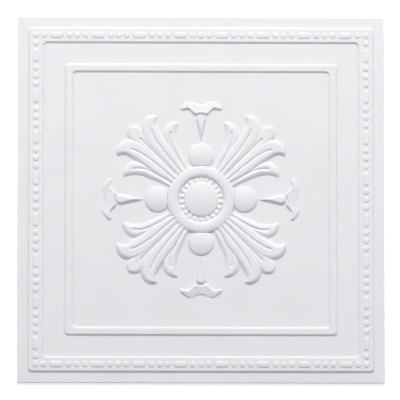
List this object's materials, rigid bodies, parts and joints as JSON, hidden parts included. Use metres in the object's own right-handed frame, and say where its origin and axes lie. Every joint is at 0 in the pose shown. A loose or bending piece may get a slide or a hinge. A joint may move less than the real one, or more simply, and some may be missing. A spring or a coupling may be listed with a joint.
{
  "type": "textured wall panel",
  "caption": "Square moulded wall panel with a bead-and-reel border, a plain inner frame and a leaf rosette in relief, glued up by its flat back.",
  "frame": {"origin": "centre of the flat back", "axes": "+Z out of the decorated face, +Y towards the top of the picture, +X to its right"},
  "size_m": [0.5, 0.5, 0.0138],
  "materials": {
    "panel": "matte white moulded hard foam, faintly cool"
  },
  "bodies": {
    "root": {"panel": "panel"}
  },
  "joints": []
}
